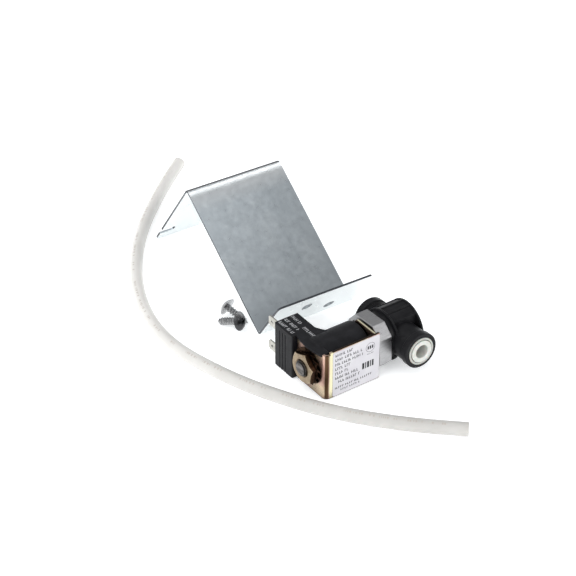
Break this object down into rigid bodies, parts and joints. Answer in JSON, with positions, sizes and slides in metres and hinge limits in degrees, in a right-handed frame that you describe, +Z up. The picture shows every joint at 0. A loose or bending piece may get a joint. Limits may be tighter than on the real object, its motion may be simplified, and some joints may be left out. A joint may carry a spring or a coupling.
{
  "type": "solenoid valve",
  "caption": "Direct-acting water solenoid valve with a framed coil, spade terminals and push-in tube ports, laid out with its bent mounting bracket, screws and tube.",
  "frame": {"origin": "on the plane that everything rests on, at the plan centre of the valve, bracket and screws, without the loose tube", "axes": "+X along the valve's stem from the coil nut to the plastic body, -Y out of the outlet port (2.5 degrees above it), +Z up"},
  "size_m": [0.1238, 0.3348, 0.0569],
  "materials": {
    "yellow_zinc": "yellow zinc plated, thinly iridescent",
    "dark_steel": "dark bronze oxide, oiled",
    "label_vinyl": "printed vinyl, slightly glossy",
    "black_moulding": "glass-filled nylon, satin",
    "black_body": "moulded acetal, satin with parting lines",
    "natural_plastic": "unfilled nylon, satin",
    "copper": "enamelled copper",
    "tinned_brass": "tin plated brass",
    "stainless": "turned stainless steel",
    "bonnet_metal": "machined, fine grain lines across it",
    "zinc_plate": "bright zinc plated sheet, faint vertical streaks",
    "screw_steel": "bright zinc plated, dark in its recesses",
    "white_acetal": "white acetal, satin",
    "seal_rubber": "moulded nitrile rubber",
    "steel_mesh": "fine stainless mesh",
    "tube_plastic": "milky polyethylene, slightly translucent"
  },
  "bodies": {
    "valve": {"yoke": "yellow_zinc", "yoke_end_plate": "yellow_zinc", "label": "label_vinyl", "coil_encapsulation": "black_moulding", "coil_bobbin": "natural_plastic", "coil_winding": "copper", "upper_spade_terminal": "tinned_brass", "lower_spade_terminal": "tinned_brass", "fixed_core": "stainless", "shading_ring": "copper", "coil_nut": "yellow_zinc", "lock_washer": "dark_steel", "guide_tube": "stainless", "plunger_spring": "stainless", "stem_o_ring": "seal_rubber", "yoke_washer": "seal_rubber", "bonnet_block": "bonnet_metal", "bonnet_screws": "screw_steel", "valve_body": "black_body", "outlet_cartridge": "white_acetal", "outlet_grab_ring": "stainless", "outlet_o_ring": "seal_rubber", "inlet_cartridge": "white_acetal", "inlet_grab_ring": "stainless", "inlet_o_ring": "seal_rubber", "inlet_screen": "steel_mesh", "mounting_bracket": "zinc_plate", "bracket_screws": "screw_steel", "water_tube": "tube_plastic"},
    "plunger": {"plunger": "stainless", "plunger_seal": "seal_rubber"},
    "outlet_collet": {"outlet_collet": "white_acetal"},
    "inlet_collet": {"inlet_collet": "white_acetal"}
  },
  "joints": [
    {"name": "plunger_slide", "type": "slide", "parent": "valve", "child": "plunger", "axis": [-1, 0, 0], "range_m": [0, 0.0019], "stiffness_N_per_m": 150, "springref_m": -0.004, "deforming": ["plunger_spring"]},
    {"name": "outlet_collet_press", "type": "slide", "parent": "valve", "child": "outlet_collet", "axis": [0, 0.999, -0.0436], "range_m": [0, 0.0015], "stiffness_N_per_m": 400, "springref_m": -0.0005},
    {"name": "inlet_collet_press", "type": "slide", "parent": "valve", "child": "inlet_collet", "axis": [0, -0.999, 0.0436], "range_m": [0, 0.0015], "stiffness_N_per_m": 400, "springref_m": -0.0005}
  ]
}
